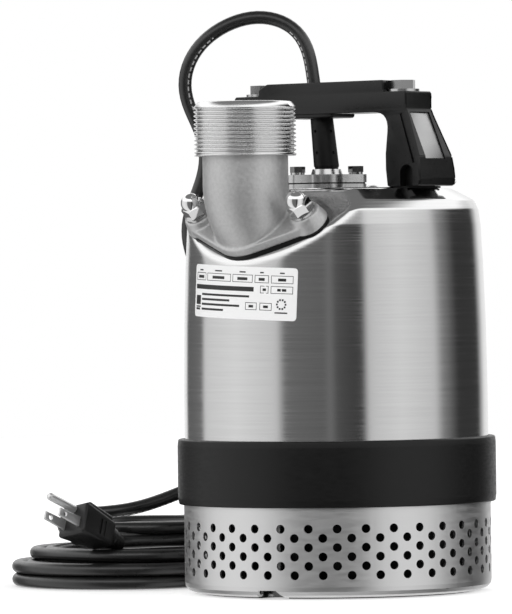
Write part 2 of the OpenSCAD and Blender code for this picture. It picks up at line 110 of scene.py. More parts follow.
# A line of points whose corners are rounded, each by its own radius
def roundedLine(points, radii, steps=5, closed=False):
    line, count = [], len(points)
    for i, point in enumerate(points):
        here = Vector(point)
        if radii[i] <= 0 or (not closed and i in (0, count - 1)):
            line.append(tuple(here))
            continue
        toLast = Vector(points[i - 1]) - here
        toNext = Vector(points[(i + 1) % count]) - here
        angle = toLast.angle(toNext)
        reach = min(radii[i] / math.tan(angle / 2), toLast.length * 0.49, toNext.length * 0.49)
        a, b = here + toLast.normalized() * reach, here + toNext.normalized() * reach
        for k in range(steps + 1):
            t = k / steps
            line.append(tuple(a * (1 - t) ** 2 + here * 2 * t * (1 - t) + b * t * t))
    return line


# Turned piece: one vertex extruded along the profile, then spun about Z
def turned(name, profile, steps=160):
    deselectAll()
    bpy.ops.mesh.primitive_plane_add(size=0.01)
    piece = bpy.context.object
    piece.name = name
    bpy.ops.object.mode_set(mode="EDIT")
    bpy.ops.mesh.select_all(action="SELECT")
    bpy.ops.mesh.merge(type="CENTER")
    last = Vector((0, 0))
    for i, point in enumerate(profile):
        step = Vector(point) - last
        move = (step[0] * 0.001, 0, step[1] * 0.001)
        if i == 0:
            bpy.ops.transform.translate(value=move)
        else:
            bpy.ops.mesh.extrude_region_move(TRANSFORM_OT_translate={"value": move})
        last = Vector(point)
    bpy.ops.mesh.select_all(action="SELECT")
    bpy.ops.mesh.spin(steps=steps, angle=math.tau, center=(0, 0, 0), axis=(0, 0, 1))
    bpy.ops.mesh.select_all(action="SELECT")
    bpy.ops.mesh.remove_doubles(threshold=0.000002)
    bpy.ops.mesh.normals_make_consistent(inside=False)
    bpy.ops.object.mode_set(mode="OBJECT")
    return piece


# Flat plate of any outline in XY, extruded upwards
def plate(name, outline, z0, z1):
    deselectAll()
    bpy.ops.mesh.primitive_circle_add(vertices=len(outline), radius=0.01, fill_type="NGON")
    piece = bpy.context.object
    piece.name = name
    for vertex, point in zip(piece.data.vertices, outline):
        vertex.co = mm(point[0], point[1], z0)
    bpy.ops.object.mode_set(mode="EDIT")
    bpy.ops.mesh.select_all(action="SELECT")
    bpy.ops.mesh.extrude_region_move(TRANSFORM_OT_translate={"value": (0, 0, (z1 - z0) * 0.001)})
    bpy.ops.mesh.select_all(action="SELECT")
    bpy.ops.mesh.normals_make_consistent(inside=False)
    bpy.ops.object.mode_set(mode="OBJECT")
    return piece


# Upright round bar, or a cone where the radius at its tip differs
def rod(radius, z0, z1, x=0, y=0, sides=64, tip=None):
    deselectAll()
    bpy.ops.mesh.primitive_cone_add(vertices=sides, radius1=radius * 0.001,
        radius2=(radius if tip is None else tip) * 0.001, depth=(z1 - z0) * 0.001,
        location=mm(x, y, (z0 + z1) / 2))
    piece = bpy.context.object
    bakePlace(piece)
    return piece


def block(x, y, z):
    deselectAll()
    bpy.ops.mesh.primitive_cube_add(size=1, location=mm(sum(x) / 2, sum(y) / 2, sum(z) / 2))
    piece = bpy.context.object
    piece.scale = mm(x[1] - x[0], y[1] - y[0], z[1] - z[0])
    bakePlace(piece)
    return piece


# Outline of the flange: a round plate with two ears
def earedOutline(r, ear, reach, steps=26):
    tilt = math.acos((r - ear) / reach)
    outline = []
    for centre, radius, a0, a1 in ((reach, ear, -tilt, tilt), (0, r, tilt, math.pi - tilt),
            (-reach, ear, math.pi - tilt, math.pi + tilt), (0, r, math.pi + tilt, math.tau - tilt)):
        for k in range(steps):
            a = a0 + (a1 - a0) * (k + 0.5) / steps
            outline.append((centre + radius * math.cos(a), radius * math.sin(a)))
    return outline


def finishPiece(piece, name, material, replaces=(), body=pumpBody, degrees=35):
    bakePlace(piece)
    smoothByAngle(piece, degrees)
    piece.name = piece.data.name = name
    piece.data.materials.clear()
    piece.data.materials.append(material)
    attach(piece, body)
    if replaces:
        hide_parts(*replaces)
    return piece


# Materials
def linear(code):
    parts = [int(code[i:i + 2], 16) / 255 for i in (1, 3, 5)]
    return tuple(c / 12.92 if c <= 0.04045 else ((c + 0.055) / 1.055) ** 2.4 for c in parts) + (1.0,)


def addNode(tree, kind, settings=None, links=None):
    node = tree.nodes.new(kind)
    sockets = {}
    for name, value in (settings or {}).items():
        if isinstance(name, int) or name in node.inputs:
            sockets[name] = value
        else:
            setattr(node, name, value)
    for name, value in sockets.items():
        node.inputs[name].default_value = value
    for name, socket in (links or {}).items():
        tree.links.new(socket, node.inputs[name])
    return node


# grain is the size of one spot of the noise and bump its depth, both in mm. A stretch above 1 makes
# the spots finer along that axis, and one below 1 draws them out.
def newMaterial(name, colour, metallic=0.0, roughness=0.5, grain=1.0, stretch=(1, 1, 1),
        bump=0.02, colourShift=0.1, roughShift=0.06, detail=4.0, extra=None):
    material = bpy.data.materials.new(name)
    material.use_nodes = True
    tree = material.node_tree
    shader = tree.nodes["Principled BSDF"]
    shader.inputs["Metallic"].default_value = metallic
    for key, value in (extra or {}).items():
        shader.inputs[key].default_value = value
    place = addNode(tree, "ShaderNodeTexCoord")
    mapping = addNode(tree, "ShaderNodeMapping", {"Scale": stretch}, {"Vector": place.outputs["Object"]})
    noise = addNode(tree, "ShaderNodeTexNoise", {"Scale": 1000 / grain / 2, "Detail": detail,
        "Roughness": 0.6}, {"Vector": mapping.outputs[0]})
    base = linear(colour)
    dark = [c * (1 - colourShift) for c in base[:3]] + [1]
    light = [min(1, c * (1 + colourShift)) for c in base[:3]] + [1]
    tone = addNode(tree, "ShaderNodeMix", {"data_type": "RGBA", 6: dark, 7: light}, {0: noise.outputs["Fac"]})
    rough = addNode(tree, "ShaderNodeMapRange", {3: roughness - roughShift, 4: roughness + roughShift,
        1: 0.3, 2: 0.7}, {0: noise.outputs["Fac"]})
    tree.links.new(tone.outputs[2], shader.inputs["Base Color"])
    tree.links.new(rough.outputs[0], shader.inputs["Roughness"])
    if bump:
        relief = addNode(tree, "ShaderNodeBump", {"Strength": 1.0, "Distance": bump * 0.001},
            {"Height": noise.outputs["Fac"]})
        tree.links.new(relief.outputs[0], shader.inputs["Normal"])
    return material


print("materials")
# Drawn stainless steel, brushed round the shell: long lines that spread light up and down, drawn
# 0.4 mm high, coarser than real brush marks, so that they show
brushedSteel = newMaterial("brushedStainlessSteel", "#d0d0d0", 1.0, 0.15, 3.0, (0.09, 0.09, 7.0), 0.006,
    0.1, 0.05, 6.0)
# Stainless sheet left satin after punching: even and dull
satinSteel = newMaterial("satinStainlessSteel", "#dadada", 1.0, 0.4, 2.0, (0.3, 0.3, 2.0), 0.003, 0.05)
# Cast aluminium, bead blasted: fine bright grain
castAluminium = newMaterial("beadBlastedAluminium", "#c2c2c2", 0.8, 0.5, 1.0, (1, 1, 1), 0.1, 0.26, 0.08)
# The same casting where a die has cut it: brighter, with fine turning marks
cutAluminium = newMaterial("machinedAluminium", "#dedede", 1.0, 0.24, 2.0, (0.3, 0.3, 1.5), 0.0, 0.05)
# Chrome plate on the cap nuts: a near mirror
chromePlate = newMaterial("chromePlate", "#e4e4e4", 1.0, 0.07, 6.0, (1, 1, 1), 0.0, 0.02, 0.02)
# Zinc plated steel: bright, with a mottled passivate
zincPlate = newMaterial("zincPlatedSteel", "#c6c6c6", 1.0, 0.26, 3.0, (1, 1, 1), 0.002, 0.06)
# The same plating passivated darker on the small hexagon bolts
darkZinc = newMaterial("passivatedZincSteel", "#8b8b8b", 1.0, 0.24, 3.0, (1, 1, 1), 0.002, 0.1)
# EPDM rubber band: matt black with a bloom that lightens it
bandRubber = newMaterial("epdmRubber", "#0d0d0d", 0.0, 0.42, 1.4, (0.5, 0.5, 2.0), 0.02, 0.3, 0.08,
    extra={"Specular IOR Level": 0.3})
# Nitrile rubber of the boot and gaskets: softer black
bootRubber = newMaterial("nitrileRubber", "#0b0b0b", 0.0, 0.48, 1.2, (1, 1, 1), 0.02, 0.2, 0.08,
    extra={"Specular IOR Level": 0.25})
# Printed polyester label film: white with a slight gloss
labelFilm = newMaterial("polyesterLabelFilm", "#f1f1f1", 0.0, 0.32, 8.0, (1, 1, 1), 0.002, 0.015, 0.03)
# Black ink of the label
labelInk = newMaterial("screenPrintInk", "#1b1b1b", 0.0, 0.45, 0.9, (1, 1, 1), 0.0, 0.3, 0.05)
# Glass filled nylon of the handle: spark eroded mould texture, semi gloss
handleNylon = newMaterial("glassFilledNylon", "#0d0d0d", 0.0, 0.33, 0.9, (1, 1, 1), 0.015, 0.25, 0.06,
    extra={"Specular IOR Level": 0.36})
# Brushed aluminium plates let into the handle's legs
inlaidAluminium = newMaterial("brushedAluminiumInlay", "#a0a0a0", 1.0, 0.3, 2.5, (1, 0.2, 1), 0.003,
    0.12)
# PVC of the moulded plug
plugVinyl = newMaterial("mouldedVinyl", "#101010", 0.0, 0.42, 1.0, (1, 1, 1), 0.02, 0.2, 0.08)
# Nickel plated brass of the plug's pins
nickelPlate = newMaterial("nickelPlatedBrass", "#d6d6d6", 0.75, 0.34, 2.0, (0.3, 1, 1), 0.004, 0.06)
# Grey iron castings of the wet end, primed
primedIron = newMaterial("primedCastIron", "#4a4d50", 0.2, 0.6, 1.6, (1, 1, 1), 0.12, 0.25)
# Leaded bronze of the wear ring
wearBronze = newMaterial("leadedBronze", "#a9794a", 1.0, 0.34, 1.4, (0.4, 0.4, 2.0), 0.02, 0.12)
# Ground and lapped bearing steel
lappedSteel = newMaterial("lappedBearingSteel", "#c9ccd0", 1.0, 0.14, 2.0, (0.3, 0.3, 3.0), 0.003, 0.05)
# Silicon nitride balls: dark and glossy
ballCeramic = newMaterial("siliconNitride", "#3c3e42", 0.0, 0.12, 3.0, (1, 1, 1), 0.0, 0.1, 0.03)
# Carbon seal face: matt, slightly metallic black
sealCarbon = newMaterial("sealCarbon", "#26272a", 0.3, 0.4, 1.2, (1, 1, 1), 0.01, 0.2)
# Alumina seat of the seal: off white
sealCeramic = newMaterial("aluminaCeramic", "#e4e0d6", 0.0, 0.28, 2.4, (1, 1, 1), 0.004, 0.04)
# Electrical steel sheets on edge: level lines, drawn coarser than the real half millimetre
laminatedSteel = newMaterial("laminatedElectricalSteel", "#6d7177", 1.0, 0.42, 1.0, (0.1, 0.1, 1.0),
    0.05, 0.3)
# Enamelled copper wire
windingCopper = newMaterial("enamelledCopper", "#9c5326", 0.8, 0.3, 1.2, (0.3, 0.3, 1.4), 0.15, 0.3)
# Cast aluminium of the motor parts
motorAluminium = newMaterial("dieCastAluminium", "#a8abae", 1.0, 0.44, 2.0, (1, 1, 1), 0.05, 0.12)
# Ground stainless shaft
groundSteel = newMaterial("groundShaftSteel", "#c3c6c9", 1.0, 0.2, 1.2, (0.3, 0.3, 3.0), 0.004, 0.06)
# Phenolic of the thermal protector and the capacitor's can
phenolic = newMaterial("mouldedPhenolic", "#2b2622", 0.0, 0.4, 1.6, (1, 1, 1), 0.02, 0.15)

nodeMaterials = {
    "outer_shell": brushedSteel, "strainer": satinSteel, "base_plate": bandRubber,
    "discharge_gasket": bootRubber, "discharge_elbow": castAluminium, "discharge_studs": zincPlate,
    "discharge_washers": zincPlate, "discharge_cap_nuts": chromePlate, "name_label": labelFilm,
    "protector_band": bandRubber, "strainer_studs": zincPlate, "strainer_nuts": zincPlate,
    "suction_cover": primedIron, "wear_ring": wearBronze, "pump_casing": primedIron,
    "casing_o_ring": bootRubber, "impeller": primedIron, "impeller_nut": zincPlate,
    "oil_chamber_cover": primedIron, "oil_chamber": primedIron, "seal_seat": sealCeramic,
    "seal_face": sealCarbon, "seal_spring": groundSteel, "lower_bearing_outer": lappedSteel,
    "lower_bearing_balls": ballCeramic, "lower_bearing_inner": lappedSteel,
    "upper_bearing_outer": lappedSteel, "upper_bearing_balls": ballCeramic,
    "upper_bearing_inner": lappedSteel, "wave_washer": groundSteel, "shaft": groundSteel,
    "rotor_core": laminatedSteel, "rotor_end_rings": motorAluminium, "stator_core": laminatedSteel,
    "stator_windings": windingCopper, "motor_frame": motorAluminium, "motor_head": motorAluminium,
    "chamber_cover": motorAluminium, "chamber_o_ring": bootRubber, "chamber_cover_screws": zincPlate,
    "thermal_protector": phenolic, "run_capacitor": phenolic, "gland_seat": zincPlate,
    "gland_packing": bootRubber, "gland_cover": zincPlate, "gland_collar": zincPlate,
    "gland_bolts": darkZinc, "gland_spring_washers": zincPlate, "cable_boot": bootRubber,
    "handle": handleNylon, "handle_bolts": darkZinc, "handle_washers": zincPlate,
    "handle_pads": bootRubber, "power_cord": bootRubber, "cord_coil": bootRubber,
    "plug_tail": bootRubber, "plug_body": plugVinyl, "plug_blades": nickelPlate,
    "plug_ground_pin": nickelPlate,
}
for nodeName, material in nodeMaterials.items():
    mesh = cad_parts[nodeName].data
    mesh.materials.clear()
    mesh.materials.append(material)


print("camera and studio")
view = {"azimuth": 41.0, "distance": 3500, "height": 190, "side": -47.3, "pitch": 0.31, "roll": 0.75,
    "lens": 342}


def addCamera():
    turn = math.radians(view["azimuth"])
    right = Vector((math.cos(turn), math.sin(turn), 0))
    back = Vector((math.sin(turn), -math.cos(turn), 0))
    pitch, roll = math.radians(view["pitch"]), math.radians(view["roll"])
    backwards = back * math.cos(pitch) + Vector((0, 0, 1)) * math.sin(pitch)
    up = backwards.cross(right)
    leanRight = right * math.cos(roll) - up * math.sin(roll)
    leanUp = up * math.cos(roll) + right * math.sin(roll)
    data = bpy.data.cameras.new("camera")
    camera = bpy.data.objects.new("camera", data)
    scene.collection.objects.link(camera)
    place = (back * view["distance"] + right * view["side"]) * 0.001 + mm(0, 0, view["height"])
    axes = Matrix((leanRight, leanUp, backwards)).transposed().to_4x4()
    camera.matrix_world = Matrix.Translation(place) @ axes
    data.sensor_fit = "VERTICAL"
    data.sensor_height = 36
    data.lens = view["lens"]
    data.clip_end = 50
    scene.camera = camera


addCamera()

# Soft boxes and dark gaps round the object, as (degrees round from the camera, brightness)
studio = [(-180, 1.0), (-159, 1.0), (-154, 0.13), (-124, 0.2), (-119, 0.85), (-82, 1.0), (-46, 0.8),
    (-40, 0.19), (-9, 0.15), (-5, 0.24), (0, 0.1), (20, 0.04), (24, 0.78), (50, 0.95), (80, 0.78),
    (88, 0.3), (101, 0.1), (106, 0.045), (137, 0.05), (144, 0.5), (152, 1.0), (180, 1.0)]
overheadLight = {"bank": 1.5, "bankFrom": (0.2, 0.42), "top": 0.22, "topFrom": (0.66, 0.76), "floorGlow": 0.5}


def addStudio():
    world = bpy.data.worlds.new("studio")
    scene.world = world
    world.use_nodes = True
    tree = world.node_tree
    shine = tree.nodes["Background"]
    ray = addNode(tree, "ShaderNodeTexCoord")
    heading = addNode(tree, "ShaderNodeMapping", {"vector_type": "VECTOR",
        "Rotation": (0, 0, math.radians(90 - view["azimuth"]))}, {"Vector": ray.outputs["Generated"]})
    split = addNode(tree, "ShaderNodeSeparateXYZ", {}, {0: heading.outputs[0]})
    angle = addNode(tree, "ShaderNodeMath", {"operation": "ARCTAN2"},
        {0: split.outputs[1], 1: split.outputs[0]})
    share = addNode(tree, "ShaderNodeMapRange", {1: -math.pi, 2: math.pi, 3: 0.0, 4: 1.0},
        {0: angle.outputs[0]})
    ramp = addNode(tree, "ShaderNodeValToRGB", {}, {0: share.outputs[0]})
    stops = ramp.color_ramp.elements
    while len(stops) > 1:
        stops.remove(stops[-1])
    for i, (degrees, value) in enumerate(studio):
        stop = stops[0] if i == 0 else stops.new((degrees + 180) / 360)
        stop.position = (degrees + 180) / 360
        stop.color = (value, value, value, 1)
    # A bright bank above the boxes, and a dimmer patch straight overhead
    sky = ramp.outputs[0]
    for name in ("bank", "top"):
        low, high = overheadLight[name + "From"]
        level = addNode(tree, "ShaderNodeMapRange", {1: low, 2: high, 3: 0.0, 4: 1.0}, {0: split.outputs[2]})
        grey = [overheadLight[name]] * 3 + [1]
        sky = addNode(tree, "ShaderNodeMix", {"data_type": "RGBA", 7: grey},
            {0: level.outputs[0], 6: sky}).outputs[2]
    path = addNode(tree, "ShaderNodeLightPath")  # the backdrop itself stays white
    seen = addNode(tree, "ShaderNodeMix", {"data_type": "RGBA", 7: (1, 1, 1, 1)},
        {0: path.outputs["Is Camera Ray"], 6: sky})
    tree.links.new(seen.outputs[2], shine.inputs["Color"])
    deselectAll()
    bpy.ops.mesh.primitive_plane_add(size=5, location=(0, 0, -0.0004))
    floor = bpy.context.object
    floor.name = "studioFloor"
    floor.visible_glossy = False
    paper = newMaterial("whitePaperFloor", "#f4f4f4", 0.0, 0.9, 30.0, (1, 1, 1), 0.0, 0.01)
    shader = paper.node_tree.nodes["Principled BSDF"]
    shader.inputs["Emission Color"].default_value = (1, 1, 1, 1)
    shader.inputs["Emission Strength"].default_value = overheadLight["floorGlow"]
    floor.data.materials.append(paper)


addStudio()

print("power cord")
cordFacts = {"diameter": 8.0, "sides": 16, "ringGap": 4.0, "exit": (-10, 0, 280), "stiffness": 15}
cordRoute = [(-10, 0, 280), (-12, 0, 293), (-14, -1, 306), (-16, -1, 325), (-21, -3, 336),
    (-29, -7, 343), (-42, -16, 347), (-54, -26, 344), (-70, -37, 333), (-79, -43, 317),
    (-82, -43, 301), (-80, -37, 288), (-77, -30, 276), (-76, -27, 259), (-80, -32, 241),
    (-87, -36, 222), (-92, -27, 207), (-97, -10, 186), (-99, 6, 160), (-101, 19, 134),
    (-104, 32, 111), (-110, 44, 93), (-121, 54, 79), (-136, 58, 70), (-151, 54, 62),
    (-162, 43, 56), (-168, 25, 50), (-172, 6, 46), (-183, -7, 44), (-199, -13, 44),
    (-215, -9.7, 40), (-227, 1, 33), (-233, 17, 29), (-230, 34, 29)]
tailRoute = [(-134, -22.5, 28), (-139.8, -28.6, 27.4), (-144, -35.2, 28.2)]
# The coil, wound clockwise: degrees round, centre, radius and height where they change
coilTurns = [(140, -170, 20, 58, 32), (120, -170, 20, 55, 36), (-60, -170, 20, 55, 36),
    (-120, -170, 20, 47, 36), (-370, -170, 20, 47, 36), (-430, -170, 20, 38.5, 36),
    (-450, -170, 20, 38.5, 34), (-540, -170, 20, 38.5, 21), (-600, -171, 11, 38.5, 14),
    (-650, -171, 9, 38.5, 6), (-700, -171, 6, 42, 4), (-760, -171, 4, 55, 4),
    (-1060, -171, 4, 55, 4), (-1120, -171, 4, 63, 4), (-1420, -171, 4, 63, 4),
    (-1480, -171, 4, 71, 4), (-1720, -171, 4, 71, 4), (-1780, -171, 4, 71, 12),
    (-2020, -171, 4, 71, 12), (-2080, -171, 4, 63, 12), (-2380, -171, 4, 63, 12),
    (-2440, -171, 4, 55, 12), (-2680, -171, 4, 55, 12), (-2740, -165, 7, 52, 20),
    (-2980, -165, 7, 52, 20), (-3040, -165, 7, 60, 20), (-3340, -164, 6, 60, 20),
    (-3400, -165, 6, 68, 20), (-3500, -166, 6, 69, 20), (-3550, -170, 20, 47, 28),
    (-3810, -170, 20, 47, 28), (-3860, -170, 20, 55, 29), (-4000, -170, 20, 55.5, 28.5)]


def coilPoints(step=10):
    points = []
    for first, second in zip(coilTurns, coilTurns[1:]):
        count = max(1, round(abs(second[0] - first[0]) / step))
        for k in range(count):
            t = smoothStep(k / count)
            angle = math.radians(first[0] + (second[0] - first[0]) * k / count)
            x, y, r, z = (a + (b - a) * t for a, b in zip(first[1:], second[1:]))
            points.append((x + r * math.cos(angle), y + r * math.sin(angle), z))
    return points


# Points every few millimetres on a smooth curve near the given ones, and its length
def evenLine(points, gap):
    points = [Vector(p) for p in points]
    fine = []
    for i in range(len(points) - 1):
        p0, p1, p2, p3 = (points[min(max(i + k, 0), len(points) - 1)] for k in (-1, 0, 1, 2))
        for k in range(8):
            t = k / 8
            fine.append(0.5 * (2 * p1 + (p2 - p0) * t + (2 * p0 - 5 * p1 + 4 * p2 - p3) * t * t
                + (3 * p1 - p0 - 3 * p2 + p3) * t * t * t))
    fine.append(points[-1])
    total = sum((b - a).length for a, b in zip(fine, fine[1:]))
    count = round(total / gap)
    even, walked, target = [fine[0]], 0.0, total / count
    for a, b in zip(fine, fine[1:]):
        length = (b - a).length
        while walked + length >= target - 1e-6 and len(even) < count:
            even.append(a.lerp(b, (target - walked) / length))
            target += total / count
        walked += length
    even.append(fine[-1])
    for _ in range(cordFacts["stiffness"]):  # each pass rounds the bends: a stiff cord takes no sharp one
        even[2:-2] = [even[i] * 0.5 + (even[i - 1] + even[i + 1]) * 0.25 for i in range(2, len(even) - 2)]
    return even, sum((b - a).length for a, b in zip(even, even[1:]))


# Tube along a line, its UV map in metres: along the line, and round it
def tube(name, line, radius, sides):
    mesh = bpy.data.meshes.new(name)
    build = bmesh.new()
    layer = build.loops.layers.uv.new("UVMap")
    rings, side, along, walked = [], Vector((0, 1, 0)), [], 0.0
    for i, point in enumerate(line):
        heading = (line[min(i + 1, len(line) - 1)] - line[max(i - 1, 0)]).normalized()
        side = (side - heading * side.dot(heading)).normalized()
        other = heading.cross(side)
        if i:
            walked += (point - line[i - 1]).length
        along.append(walked * 0.001)
        rings.append([build.verts.new((point + radius * (side * math.cos(math.tau * k / sides)
            + other * math.sin(math.tau * k / sides))) * 0.001) for k in range(sides)])
    for i in range(len(rings) - 1):
        for k in range(sides):
            n = (k + 1) % sides
            face = build.faces.new((rings[i][k], rings[i][n], rings[i + 1][n], rings[i + 1][k]))
            face.smooth = True
            for loop, (u, v) in zip(face.loops, ((along[i], k), (along[i], k + 1),
                    (along[i + 1], k + 1), (along[i + 1], k))):
                loop[layer].uv = (u, v / sides)
    build.faces.new(list(reversed(rings[0])))
    build.faces.new(rings[-1])
    build.to_mesh(mesh)
    build.free()
    piece = bpy.data.objects.new(name, mesh)
    scene.collection.objects.link(piece)
    return piece


# SJTOW cord jacket: extruded thermoplastic rubber, semi matt, with a line of printed dashes
def cordMaterial():
    material = newMaterial("extrudedCordJacket", "#181818", 0.0, 0.33, 1.3, (1, 1, 1), 0.02, 0.2, 0.07,
        extra={"Specular IOR Level": 0.7})
    tree = material.node_tree
    shader = tree.nodes["Principled BSDF"]
    base = shader.inputs["Base Color"].links[0].from_socket
    uv = addNode(tree, "ShaderNodeTexCoord")
    split = addNode(tree, "ShaderNodeSeparateXYZ", {}, {0: uv.outputs["UV"]})

    def sums(operation, values, links):
        return addNode(tree, "ShaderNodeMath", {"operation": operation, **values}, links).outputs[0]

    def inside(socket, period, start, end):
        wrapped = sums("WRAP", {1: period, 2: 0.0}, {0: socket})
        over = sums("GREATER_THAN", {1: start}, {0: wrapped})
        under = sums("LESS_THAN", {1: end}, {0: wrapped})
        return sums("MULTIPLY", {}, {0: over, 1: under})

    group = inside(split.outputs[0], 0.115, 0.0, 0.062)  # a run of dashes every 115 mm
    dash = inside(split.outputs[0], 0.0042, 0.0, 0.0027)  # dashes 2.7 mm long
    band = inside(split.outputs[1], 1.0, 0.445, 0.485)  # a narrow line along one side
    ink = sums("MULTIPLY", {}, {0: sums("MULTIPLY", {}, {0: group, 1: dash}), 1: band})
    printed = addNode(tree, "ShaderNodeMix", {"data_type": "RGBA", 7: linear("#a8a8a8")}, {0: ink, 6: base})
    tree.links.new(printed.outputs[2], shader.inputs["Base Color"])
    return material


cordLine, cordLength = evenLine(cordRoute + coilPoints() + tailRoute, cordFacts["ringGap"])
cord = tube("powerCord", cordLine, cordFacts["diameter"] / 2, cordFacts["sides"])
finishPiece(cord, "powerCord", cordMaterial(), ("power_cord", "cord_coil", "plug_tail"),
    degrees=60)
print("cord length", round(cordLength))


print("plug")
plugSizes = {"at": (-147.8, -65, 40.4), "turn": (12, -24, -97), "front": 9.0, "rear": -20.0,
    "halfWidth": 11.5, "height": (-11, 9.5), "ribs": (-13.4, -9.8, -6.2), "reliefBands": 4}
bladeSizes = {"apart": 12.7, "thick": 1.5, "reach": (5, 26), "height": (-6.8, -0.3), "holeX": 21.5}
pinSizes = {"radius": 2.4, "reach": (5, 31.2), "z": 6.0}


def plugPlace():
    roll, pitch, heading = plugSizes["turn"]
    return moveBy(*plugSizes["at"]) @ turnBy(heading, "Z") @ turnBy(pitch, "Y") @ turnBy(roll, "X")


def makePlug():
    s = plugSizes
    grip = block((s["rear"], s["front"]), (-s["halfWidth"], s["halfWidth"]), s["height"])
    for vertex in grip.data.vertices:  # the grip narrows towards the cord
        if vertex.co.x < 0:
            vertex.co.y *= 0.72
            vertex.co.z *= 0.78
    applyModifier(grip, "BEVEL", width=0.0022, segments=4, limit_method="NONE")
    rim = block((-17, 5.5), (-9.6, 9.6), (4, 11.2))  # raised round the sunk panel on top
    for vertex in rim.data.vertices:
        if vertex.co.x < 0:
            vertex.co.y *= 0.82
            vertex.co.z -= 0.0012
    applyModifier(rim, "BEVEL", width=0.0014, segments=3, limit_method="NONE")
    cut(grip, [rim], "UNION")
    pocket = block((-14, 2.5), (-6.2, 6.2), (8.6, 14))
    applyModifier(pocket, "BEVEL", width=0.0012, segments=3, limit_method="NONE")
    cut(grip, [pocket])
    slots = []
    for side in (-1, 1):
        for x in s["ribs"]:  # slots between the finger ribs
            slots.append(block((x - 0.8, x + 0.8), (side * 10.4 - 1.4, side * 10.4 + 1.4), (-6, 4)))
    cut(grip, slots)
    profile = [(0, -17), (7.4, -17), (7.4, -20.5)]
    for k in range(s["reliefBands"]):  # strain relief, grooved so that it bends
        x = -20.5 - k * 3.0
        r = 7.2 - k * 0.72
        profile += [(r, x - 0.2), (r - 0.2, x - 1.5), (r - 0.8, x - 1.7), (r - 0.9, x - 2.8)]
    profile += [(4.4, -33), (0, -33)]
    relief = turned("relief", profile, 40)
    bakePlace(relief, turnBy(90, "Y"))
    body = join([grip, relief])
    bakePlace(body, plugPlace())
    return body


def makeBlades():
    s = bladeSizes
    middle = sum(s["height"]) / 2
    blades = []
    for side in (-1, 1):
        y = side * s["apart"] / 2
        blade = block(s["reach"], (y - s["thick"] / 2, y + s["thick"] / 2), s["height"])
        for vertex in blade.data.vertices:  # the tip is tapered on its edges
            if vertex.co.x > 0.02:
                vertex.co.z = (middle + (vertex.co.z * 1000 - middle) * 0.8) * 0.001
        applyModifier(blade, "BEVEL", width=0.0003, segments=2, limit_method="NONE")
        hole = rod(1.6, -4, 4, sides=32)
        bakePlace(hole, moveBy(s["holeX"], y, middle) @ turnBy(90, "X"))
        cut(blade, [hole])
        blades.append(blade)
    body = join(blades)
    bakePlace(body, plugPlace())
    return body


def makeGroundPin():
    r, (low, high) = pinSizes["radius"], pinSizes["reach"]
    profile = [(0, low), (r, low)]
    for degrees in range(0, 91, 15):  # rounded tip
        a = math.radians(degrees)
        profile.append((r / 2 + r / 2 * math.cos(a), high - r + r * math.sin(a)))
    pin = turned("pin", profile + [(0, high)], 32)
    bakePlace(pin, turnBy(90, "Y"))
    bakePlace(pin, plugPlace() @ moveBy(0, 0, pinSizes["z"]))
    return pin


blades = finishPiece(makeBlades(), "plugBlades", nickelPlate, ("plug_blades",))
groundPin = finishPiece(makeGroundPin(), "groundPin", nickelPlate, ("plug_ground_pin",))
plug = finishPiece(makePlug(), "plugBody", plugVinyl, ("plug_body",))


print("shell")
shellSizes = {"sheet": 1.5, "facetAxisZ": 287.5, "facetBlend": 3.0, "openingR": 23.0, "boltHoleR": 4.3,
    "studX": 41.0, "screwX": 31.0, "glandX": -5.0, "glandBolt": 12.37}
# Middle of the sloped facet that carries the elbow, its Z axis square to it
facetPlace = moveBy(0, -68.4, 219.1) @ turnBy(45, "X")


def makeShell():
    s = shellSizes
    outline = roundedLine([(91, 60), (91, 120), (90.4, 160), (89.2, 196), (88, 219), (86.8, 228),
        (84, 233.6), (71, 240.5), (62, 240.5), (60.8, 241.3), (0, 241.3)],
        (0, 60, 60, 40, 16, 5, 3.5, 5, 1.2, 1.2, 0), 6)
    rows = [outline[0]]
    for a, b in zip(outline, outline[1:]):  # rows close enough for the sloped facet to bend smoothly
        parts = max(1, math.ceil((Vector(b) - Vector(a)).length / (2.4 if a[1] > 125 else 20)))
        rows += [tuple(Vector(a).lerp(Vector(b), (k + 1) / parts)) for k in range(parts)]
    shell = turned("shell", rows, 288)
    normal = Vector((0, -1, 1)).normalized()
    blend = s["facetBlend"] * 0.001
    for vertex in shell.data.vertices:  # all above the sloped plane is pressed down onto it
        height = (vertex.co - mm(0, 0, s["facetAxisZ"])).dot(normal)
        if height > -blend:
            level = 0 if height >= blend else -(blend - height) ** 2 / (4 * blend)
            vertex.co += normal * (level - height)
    applyModifier(shell, "SOLIDIFY", thickness=s["sheet"] * 0.001, offset=-1)
    holes = [rod(s["openingR"], -14, 12)]
    holes += [rod(s["boltHoleR"], -14, 12, side * s["studX"]) for side in (-1, 1)]
    for hole in holes:
        bakePlace(hole, facetPlace)
    holes.append(rod(8, 230, 250, s["glandX"]))
    holes += [rod(s["boltHoleR"], 225, 250, side * boltX) for side in (-1, 1)]
    holes += [rod(3.2, 225, 250, side * s["screwX"]) for side in (-1, 1)]
    holes += [rod(2.8, 232, 250, s["glandX"] + side * s["glandBolt"], side * s["glandBolt"])
        for side in (-1, 1)]
    cut(shell, holes)
    return shell


finishPiece(makeShell(), "outerShell", brushedSteel, ("outer_shell",), degrees=28)


print("protector band")
bandSizes = {"outer": 95.5, "foot": 53.5, "top": 92.5}


def makeBand():
    outer, low, high = bandSizes["outer"], bandSizes["foot"], bandSizes["top"]
    profile = roundedLine([(92, low), (outer - 0.6, low), (outer, low + 4), (outer, high - 4),
        (outer - 0.5, high), (91.4, high), (91, high - 0.6), (91, 60), (92, 60), (92, low)],
        (0, 1.0, 6, 6, 1.2, 0.4, 0, 0, 0, 0), 5)
    return turned("band", profile, 240)


finishPiece(makeBand(), "protectorBand", bandRubber, ("protector_band",))


